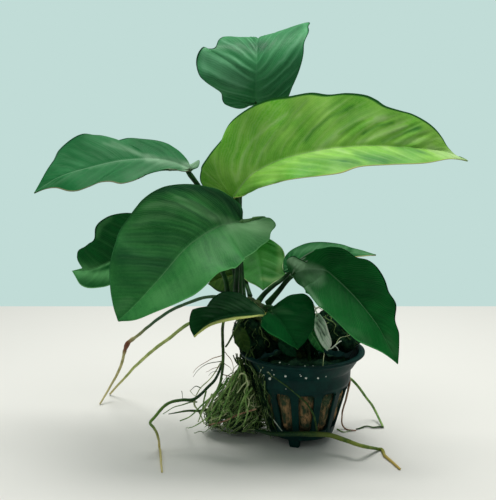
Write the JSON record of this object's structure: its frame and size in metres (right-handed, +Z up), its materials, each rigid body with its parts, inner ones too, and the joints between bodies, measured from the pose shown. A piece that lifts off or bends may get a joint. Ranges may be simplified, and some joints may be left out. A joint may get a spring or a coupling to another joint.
{
  "type": "potted aquarium plant",
  "caption": "Potted anubias with heart-shaped leaves on slender stalks, a creeping rhizome and trailing roots, growing from a slotted net pot filled with mineral wool.",
  "frame": {"origin": "under the middle of the whole plant's bounding box, on the surface that the pot stands on", "axes": "+Z is up along the pot's axis, +X is to the viewer's right in the picture, +Y points away from the viewer"},
  "size_m": [0.177, 0.1108, 0.1791],
  "materials": {
    "dark_leaf": "satin",
    "bright_leaf": "satin",
    "young_leaf": "satin",
    "shaded_leaf": "satin",
    "stalk": "satin",
    "rhizome": "satin",
    "root": "matte",
    "root_tangle": "matte",
    "mineral_wool": "matte",
    "pot": "satin"
  },
  "bodies": {
    "root": {"net_pot": "pot", "mineral_wool": "mineral_wool", "rhizome": "rhizome", "root_mass": "root_tangle", "top_leaf_blade": "dark_leaf", "top_leaf_stalk": "stalk", "bright_leaf_blade": "bright_leaf", "bright_leaf_stalk": "stalk", "left_leaf_blade": "dark_leaf", "left_leaf_stalk": "stalk", "centre_leaf_blade": "dark_leaf", "centre_leaf_stalk": "stalk", "far_left_leaf_blade": "dark_leaf", "far_left_leaf_stalk": "stalk", "small_bright_leaf_blade": "bright_leaf", "small_bright_leaf_stalk": "stalk", "right_back_leaf_blade": "dark_leaf", "right_back_leaf_stalk": "stalk", "right_front_leaf_blade": "dark_leaf", "right_front_leaf_stalk": "stalk", "lower_left_leaf_blade": "dark_leaf", "lower_left_leaf_stalk": "stalk", "lower_front_leaf_blade": "dark_leaf", "lower_front_leaf_stalk": "stalk", "young_folded_leaf_blade": "young_leaf", "young_folded_leaf_stalk": "stalk", "young_dark_leaf_blade": "young_leaf", "young_dark_leaf_stalk": "stalk", "shaded_leaf_blade": "shaded_leaf", "shaded_leaf_stalk": "stalk", "rim_leaf_blade": "shaded_leaf", "rim_leaf_stalk": "stalk", "mouth_leaf_blade": "shaded_leaf", "mouth_leaf_stalk": "stalk", "left_root_upper": "root", "left_root_lower": "root", "hanging_root": "root", "front_root": "root", "right_root": "root", "left_floor_root": "root"}
  },
  "joints": []
}
